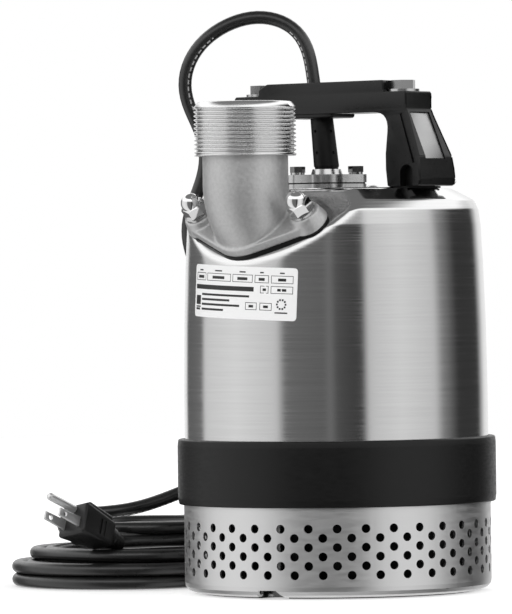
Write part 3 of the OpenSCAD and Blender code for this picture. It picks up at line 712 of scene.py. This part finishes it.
# Dark vanes behind the strainer's holes, as painted shade: a black thing put in so that the holes show dark
# like the shaded inside of the pump
print("inlet vanes")
shadeVaneSizes = {"count": 40, "radius": 74.0, "width": 17.0, "thick": 1.6, "lean": 62.0}


def makeShadeVanes():
    s = shadeVaneSizes
    vanes = []
    for k in range(s["count"]):
        vane = block((-s["width"] / 2, s["width"] / 2), (-s["thick"] / 2, s["thick"] / 2), (4.6, 42))
        turn = turnBy(360 * k / s["count"], "Z")
        bakePlace(vane, turn @ moveBy(s["radius"], 0, 0) @ turnBy(s["lean"], "Z"))
        vanes.append(vane)
    return join(vanes)


# black rubber vanes that paint the shade inside the strainer
finishPiece(makeShadeVanes(), "inletShadeVanes", bootRubber)


print("discharge elbow")
elbowSizes = {"pipe": 25.3, "bore": 22.5, "bend": 32.0, "bendZ": 243.9, "y": -80.0, "threadFoot": 260.5,
    "top": 292.6, "threadR": 30.15, "pitch": 2.41, "threadDepth": 1.55, "voxel": 0.8}
flangeSizes = {"radius": 27.5, "ear": 10.0, "foot": 1.2, "top": 7.0, "bossR": 11.6, "bossTipR": 9.2}


# Solid round bar along the elbow's middle line: from under the flange, round the bend, straight up
def bentBar(name, radius, below, top):
    s = elbowSizes
    middle = Vector((0, s["y"] + s["bend"], s["bendZ"]))
    line = [Vector((0, s["y"], top)), Vector((0, s["y"], (top + s["bendZ"]) / 2))]
    for k in range(13):
        a = math.radians(45 * k / 12)
        line.append(middle + s["bend"] * Vector((0, -math.cos(a), -math.sin(a))))
    line.append(line[-1] + Vector((0, 1, -1)).normalized() * below)
    bar = tube(name, line, radius, 96)
    selectOnly(bar)
    return bar


def makeElbow():
    s, f = elbowSizes, flangeSizes
    parts = [bentBar("pipe", s["pipe"], 8, s["threadFoot"] + 2)]
    studs = (-shellSizes["studX"], shellSizes["studX"])
    flange = plate("flange", earedOutline(f["radius"], f["ear"], studs[1]), f["foot"], f["top"])
    bakePlace(flange, facetPlace)
    parts.append(flange)
    for x in studs:
        boss = rod(f["bossR"], f["foot"] + 0.1, 11, x, tip=f["bossTipR"])
        bakePlace(boss, facetPlace)
        parts.append(boss)
    body = join(parts)
    applyModifier(body, "REMESH", mode="VOXEL", voxel_size=s["voxel"] * 0.001, use_smooth_shade=True)
    applyModifier(body, "SMOOTH", factor=0.5, iterations=4)
    below = block((-60, 60), (-60, 60), (-40, 2.0))
    bakePlace(below, facetPlace)
    cut(body, [below])
    cut(body, [bentBar("bore", s["bore"], 30, 300)])
    holes = []
    for x in studs:
        hole = rod(shellSizes["boltHoleR"], -5, 20, x, sides=32)
        bakePlace(hole, facetPlace)
        holes.append(hole)
    cut(body, holes)
    return body


# Threaded end: turned, then cut by a helix that runs out at its foot
def makeThread():
    s = elbowSizes
    low, high, big = s["threadFoot"], s["top"], s["threadR"]
    rows = [(s["pipe"] - 1.5, low + 0.6), (s["pipe"] - 0.2, low)]
    rows += [(big - 0.35, low), (big, low + 0.35)]
    count = round((high - 3.6 - low - 0.6) / 0.2)
    rows += [(big, low + 0.6 + 0.2 * k) for k in range(count + 1)]
    rows += roundedLine([(big, high - 3.2), (big - 2.6, high - 0.2), (big - 5.2, high), (s["bore"] + 1, high),
        (s["bore"], high - 1), (s["bore"], low + 0.6), (s["pipe"] - 1.5, low + 0.6)],
        (0, 1.2, 1.2, 0.8, 0.8, 0, 0), 4)
    thread = turned("thread", rows, 144)
    for vertex in thread.data.vertices:
        r = math.hypot(vertex.co.x, vertex.co.y) * 1000
        z = vertex.co.z * 1000
        if r > big - 0.05 and low + 0.5 < z < high - 3.1:
            turn = math.atan2(vertex.co.y, vertex.co.x) / math.tau
            phase = (z - low) / s["pitch"] + turn
            tooth = (0.5 + 0.5 * math.cos(math.tau * phase)) ** 1.3
            edge = min(1.0, (z - low - 0.5) / 1.0, (high - 3.1 - z) / 1.0)
            scale = 1 - s["threadDepth"] * tooth * max(edge, 0.0) / r
            vertex.co.x *= scale
            vertex.co.y *= scale
    bakePlace(thread, moveBy(0, s["y"], 0))
    return thread


finishPiece(makeElbow(), "dischargeElbow", castAluminium, ("discharge_elbow",),
    degrees=180)
finishPiece(makeThread(), "dischargeThread", cutAluminium, ("discharge_elbow",), degrees=80)


print("cap nuts")
nutSizes = {"flats": 13.0, "foot": 12.6, "hexTop": 18.6, "domeR": 6.1, "top": 26.3, "turn": 12}


def capNut(x):
    s = nutSizes
    corner = s["flats"] / 2 / math.cos(math.radians(30))
    nut = rod(corner, s["foot"], s["hexTop"] + 3.4, sides=6)
    chamfer = turned("chamfer", [(0, s["foot"]), (corner - 0.7, s["foot"]),
        (corner + 0.15, s["foot"] + 0.6), (corner + 0.15, s["hexTop"] - 0.2),
        (s["domeR"] - 0.1, s["hexTop"] + 1.1), (0, s["hexTop"] + 1.1)], 64)
    cut(nut, [chamfer], "INTERSECT")  # leaves the hexagon with rounded-off corners
    dome = [(0, s["hexTop"] - 1)]
    for k in range(15):
        a = math.radians(-6 + 96 * k / 14)
        dome.append((max(0, s["domeR"] * math.cos(a)), s["top"] - s["domeR"] + s["domeR"] * math.sin(a)))
    dome[-1] = (0, s["top"])
    crown = turned("crown", dome, 64)
    nut = join([nut, crown])
    bakePlace(nut, facetPlace @ moveBy(x, 0, 0) @ turnBy(s["turn"], "Z"))
    return nut


bothNuts = join([capNut(-shellSizes["studX"]), capNut(shellSizes["studX"])])
finishPiece(bothNuts, "capNuts", chromePlate, ("discharge_cap_nuts",), degrees=32)


# Boot over the cord's exit
print("boot")
bootSizes = {"lean": -6.5, "leanFrom": 254.2, "foot": 237.5, "top": 285.6, "dimple": 1.0,
    "dimpleZ": (263, 276), "dimpleTurns": (-90.8, -7.2)}


def makeBoot():
    s = bootSizes
    low, high = s["foot"], s["top"]
    profile = roundedLine([(0, low), (7, low), (7, 254), (7.6, 255), (6.8, high), (4.1, high), (0, high)],
        (0, 0.3, 1, 1.2, 0.8, 0, 0), 4)
    boot = turned("boot", profile, 64)
    dimples = []
    for z in s["dimpleZ"]:
        for degrees in s["dimpleTurns"]:
            a = math.radians(degrees)
            r = 7.55 - (z - 255) * 0.043  # the tapered boot's radius at this height
            deselectAll()
            bpy.ops.mesh.primitive_uv_sphere_add(segments=20, ring_count=12,
                radius=s["dimple"] * 0.001, location=mm(r * math.cos(a), r * math.sin(a), z))
            dimples.append(bpy.context.object)
    cut(boot, dimples)
    for vertex in boot.data.vertices:  # above the gland the boot leans with the cord
        over = max(0.0, vertex.co.z - s["leanFrom"] * 0.001)
        vertex.co.x += over * math.tan(math.radians(s["lean"]))
    bakePlace(boot, moveBy(shellSizes["glandX"], 0, 0))
    return boot


finishPiece(makeBoot(), "cableBoot", bootRubber, ("cable_boot",))


print("handle")
handleSizes = {"barTop": 305.0, "barFoot": 286.0, "barHalf": 12.0, "footHalf": 16.5, "shoulder": 298.0,
    "foot": 241.6, "edge": 0.6, "corner": 2.8, "wideFrom": (284, 252)}
# Sunk panel on each leg's slope and the plate let into it: along the slope, across, and depths
panelSizes = {"along": (2.0, 32.4), "across": (-9.3, 8.7), "depth": 1.4, "plate": 0.8, "gap": 0.2}


# The legs widen from the bar's half width to the foot's
def halfWidth(z):
    s = handleSizes
    top, low = s["wideFrom"]
    return s["barHalf"] + (s["footHalf"] - s["barHalf"]) * min(max((top - z) / (top - low), 0), 1)


# Places a block drawn as (down the leg's slope, across, outwards) on the slope of either leg
def onSlope(piece, side):
    down, out = Vector((12.5, 0, -28.5)).normalized(), Vector((28.5, 0, 12.5)).normalized()
    place = Matrix((down, (0, 1, 0), out)).transposed().to_4x4()
    bakePlace(piece, moveBy(67, 0, 287.5) @ place)
    if side < 0:
        bakePlace(piece, turnBy(180, "Z"))
    return piece


def makeHandle():
    s = handleSizes
    right = [(49.5, s["barTop"]), (49.5, s["shoulder"]), (67, s["shoulder"]), (67, 287.5), (79.5, 259),
        (81, 246), (80, s["foot"]), (55.8, s["foot"]), (53.5, 261), (53.5, s["barFoot"])]
    rightR = [2.0, 1.5, 1.2, 4, 6, 4, 2.2, 1.2, 0, 12]
    left = [(-x, z) for x, z in reversed(right)]
    leftR = list(reversed(rightR))
    left[-2:] = [(-48, s["shoulder"]), (-48, 301.8), (-41.5, s["barTop"])]
    leftR[-1:] = [1.0, 1.5]
    outline = roundedLine(right + left, rightR + leftR, 7, closed=True)
    body = plate("carryHandle", outline, -17, 17)
    bakePlace(body, turnBy(90, "X"))
    bpy.ops.object.mode_set(mode="EDIT")
    for z in s["wideFrom"]:
        bpy.ops.mesh.select_all(action="SELECT")
        bpy.ops.mesh.bisect(plane_co=mm(0, 0, z), plane_no=(0, 0, 1))
    bpy.ops.object.mode_set(mode="OBJECT")
    for vertex in body.data.vertices:
        vertex.co.y = math.copysign(halfWidth(vertex.co.z * 1000) * 0.001, vertex.co.y)
    selectOnly(body)
    bpy.ops.object.mode_set(mode="EDIT")
    mesh = bmesh.from_edit_mesh(body.data)
    for edge in mesh.edges:  # the outer upright corners of the legs take a wide chamfer
        edge.select = False
        middle = (edge.verts[0].co + edge.verts[1].co) / 2
        level = abs(edge.verts[0].co.y - edge.verts[1].co.y) < 0.006 and edge.calc_face_angle(0) > 0.5
        if abs(middle.x) > 0.0665 and level and abs(edge.verts[0].co.z - edge.verts[1].co.z) > 0.0003:
            edge.select = True
    bmesh.update_edit_mesh(body.data)
    bpy.ops.mesh.bevel(offset=s["corner"] * 0.001, segments=1, affect="EDGES", clamp_overlap=True)
    bpy.ops.object.mode_set(mode="OBJECT")
    applyModifier(body, "BEVEL", width=s["edge"] * 0.001, segments=3, limit_method="ANGLE",
        angle_limit=math.radians(28), use_clamp_overlap=False)
    bpy.ops.object.mode_set(mode="EDIT")
    bpy.ops.mesh.select_all(action="SELECT")
    bpy.ops.mesh.remove_doubles(threshold=0.00004)
    bpy.ops.mesh.dissolve_degenerate(threshold=0.00001)
    bpy.ops.mesh.normals_make_consistent(inside=False)
    bpy.ops.object.mode_set(mode="OBJECT")
    boss = block((-31, 9), (-11, 11), (283.7, 288))  # lip round the boot's top
    applyModifier(boss, "BEVEL", width=0.0016, segments=3, limit_method="NONE")
    cut(body, [boss], "UNION")
    for side in (-1, 1):  # pillar round each bolt, inside the leg
        cut(body, [rod(7.8, s["foot"] + 0.3, 290, side * boltX)], "UNION")
    cutters = [rod(8.2, 275, 320, -12.5)]  # the cord's way through the bar
    for side in (-1, 1):
        cutters.append(rod(shellSizes["boltHoleR"], 230, 310, side * boltX))
        for face in (-1, 1):  # drain notch with a round head in each face of the foot
            arch = [(-4.8, 236), (4.8, 236), (4.8, 249.6)]
            arch += [(4.8 * math.cos(math.radians(a)), 249.6 + 4.8 * math.sin(math.radians(a)))
                for a in range(12, 169, 12)]
            arch += [(-4.8, 249.6)]
            notch = plate("notch", arch, -9, 9)
            bakePlace(notch, moveBy(side * 70.5, face * 20, 0) @ turnBy(90, "X"))
            cutters.append(notch)
    cut(body, cutters)
    cut(body, [rod(10.5, s["shoulder"] + 0.03, 312, side * boltX) for side in (-1, 1)])  # bolt recesses
    p = panelSizes
    cut(body, [onSlope(block(p["along"], p["across"], (-p["depth"], 3)), side) for side in (-1, 1)])
    grooves = []
    for side in (-1, 1):  # channel down each upright corner
        for face in (-1, 1):
            groove = block((1, 33), (-20, -11.1), (-5.6, -4.0))
            for vertex in groove.data.vertices:
                if vertex.co.y > -0.012 and vertex.co.x > 0.02:
                    vertex.co.y -= 0.0038
                vertex.co.y *= -face
            grooves.append(onSlope(groove, side))
    for groove in grooves:
        selectOnly(groove)
        bpy.ops.object.mode_set(mode="EDIT")
        bpy.ops.mesh.select_all(action="SELECT")
        bpy.ops.mesh.normals_make_consistent(inside=False)
        bpy.ops.object.mode_set(mode="OBJECT")
    cut(body, grooves)
    return body


def makeInlays():
    p, plates = panelSizes, []
    along, across = ((low + p["gap"], high - p["gap"]) for low, high in (p["along"], p["across"]))
    for side in (-1, 1):
        panel = block(along, across, (-p["depth"], p["plate"] - p["depth"]))
        applyModifier(panel, "BEVEL", width=0.0003, segments=2, limit_method="NONE")
        plates.append(onSlope(panel, side))
    return join(plates)


finishPiece(makeHandle(), "carryHandle", handleNylon, ("handle",), degrees=30)
finishPiece(makeInlays(), "handleInlays", inlaidAluminium)


print("label")
labelSizes = {"width": 82.0, "height": 31.0, "middle": -90.0, "z": 180.1, "tilt": -2.5, "corner": 2.5}


# The shell's radius at a height, from the rows of its outline
def shellRadius(z):
    rows = [(60, 91), (120, 91), (160, 90.4), (196, 89.2), (219, 88)]
    for (z0, r0), (z1, r1) in zip(rows, rows[1:]):
        if z <= z1:
            return r0 + (r1 - r0) * (z - z0) / (z1 - z0)
    return 88


# Lays a flat drawing (x along the label, y up) on the round shell, standing proud by lift
def wrapOnShell(piece, lift):
    s = labelSizes
    tilt = math.radians(s["tilt"])
    for vertex in piece.data.vertices:
        x, y, depth = vertex.co * 1000
        along = x * math.cos(tilt) - y * math.sin(tilt)
        up = x * math.sin(tilt) + y * math.cos(tilt)
        z = s["z"] + up
        angle = math.radians(s["middle"]) + along / 90
        r = shellRadius(z) + lift + depth
        vertex.co = mm(r * math.cos(angle), r * math.sin(angle), z)


def makeLabel():
    s = labelSizes
    w, h = s["width"] / 2, s["height"] / 2
    outline = roundedLine([(w, h), (-w, h), (-w, -h), (w, -h)], [s["corner"]] * 4, 5, closed=True)
    film = plate("label", outline, 0, 0.3)
    bpy.ops.object.mode_set(mode="EDIT")
    for k in range(-9, 10):  # columns, so that the film follows the curve
        bpy.ops.mesh.select_all(action="SELECT")
        bpy.ops.mesh.bisect(plane_co=mm(k * 4.2, 0, 0), plane_no=(1, 0, 0))
    bpy.ops.object.mode_set(mode="OBJECT")
    wrapOnShell(film, 0.02)
    return film


# Generic bars and boxes in place of words, each as (x, y, width, height)
def makeLabelPrint():
    bars = []

    def bar(x, y, w, h):
        parts = max(1, round(w / 4))  # short pieces, so that a long bar follows the curve
        for k in range(parts):
            bars.append((x + w * k / parts, y, w / parts, h))

    def frameBox(x, y, w, h, line=0.35):
        bar(x, y, w, line)
        bar(x, y + h - line, w, line)
        bar(x, y, line, h)
        bar(x + w - line, y, line, h)

    for x, w, inner in ((-39, 11, 6.5), (-26.5, 22, 11), (-3, 15, 7.5), (13.5, 9.5, 4), (24.5, 14, 5)):
        frameBox(x, 6.2, w, 4.6)
        bar(x + (w - inner) / 2, 7.5, inner, 1.7)
        bar(x + (w - inner * 0.6) / 2, 11.9, inner * 0.6, 0.8)
    bar(-39.5, 1.0, 52.5, 2.7)  # one bold line
    bar(-39, -8.2, 5.6, 5.4)
    bar(-39, -9.8, 5.6, 0.8)
    for k, w in enumerate((42, 27, 35, 22)):
        bar(-32, -2.6 - k * 2.9, w, 1.25)
    bar(-39, -11.4, 5, 1.25)
    for x, y, w in ((17.5, 0.2, 5.5), (24.5, 0.2, 14), (7.5, -9.8, 8), (17.5, -9.8, 8)):
        frameBox(x, y, w, 4.4)
        bar(x + w * 0.3, y + 1.4, w * 0.4, 1.5)
    for k in range(10):  # round mark, a plain ring
        a = math.radians(36 * k)
        bars.append((31.5 + 2.7 * math.cos(a) - 0.55, -6 + 2.7 * math.sin(a) - 0.55, 1.1, 1.1))
    bar(27.5, -11.4, 8, 0.8)
    prints = []
    for x, y, w, h in bars:
        prints.append(block((x, x + w), (y, y + h), (0, 0.05)))
    printed = join(prints)
    wrapOnShell(printed, 0.3)
    return printed


finishPiece(makeLabel(), "nameLabel", labelFilm, ("name_label",))
finishPiece(makeLabelPrint(), "labelPrint", labelInk)
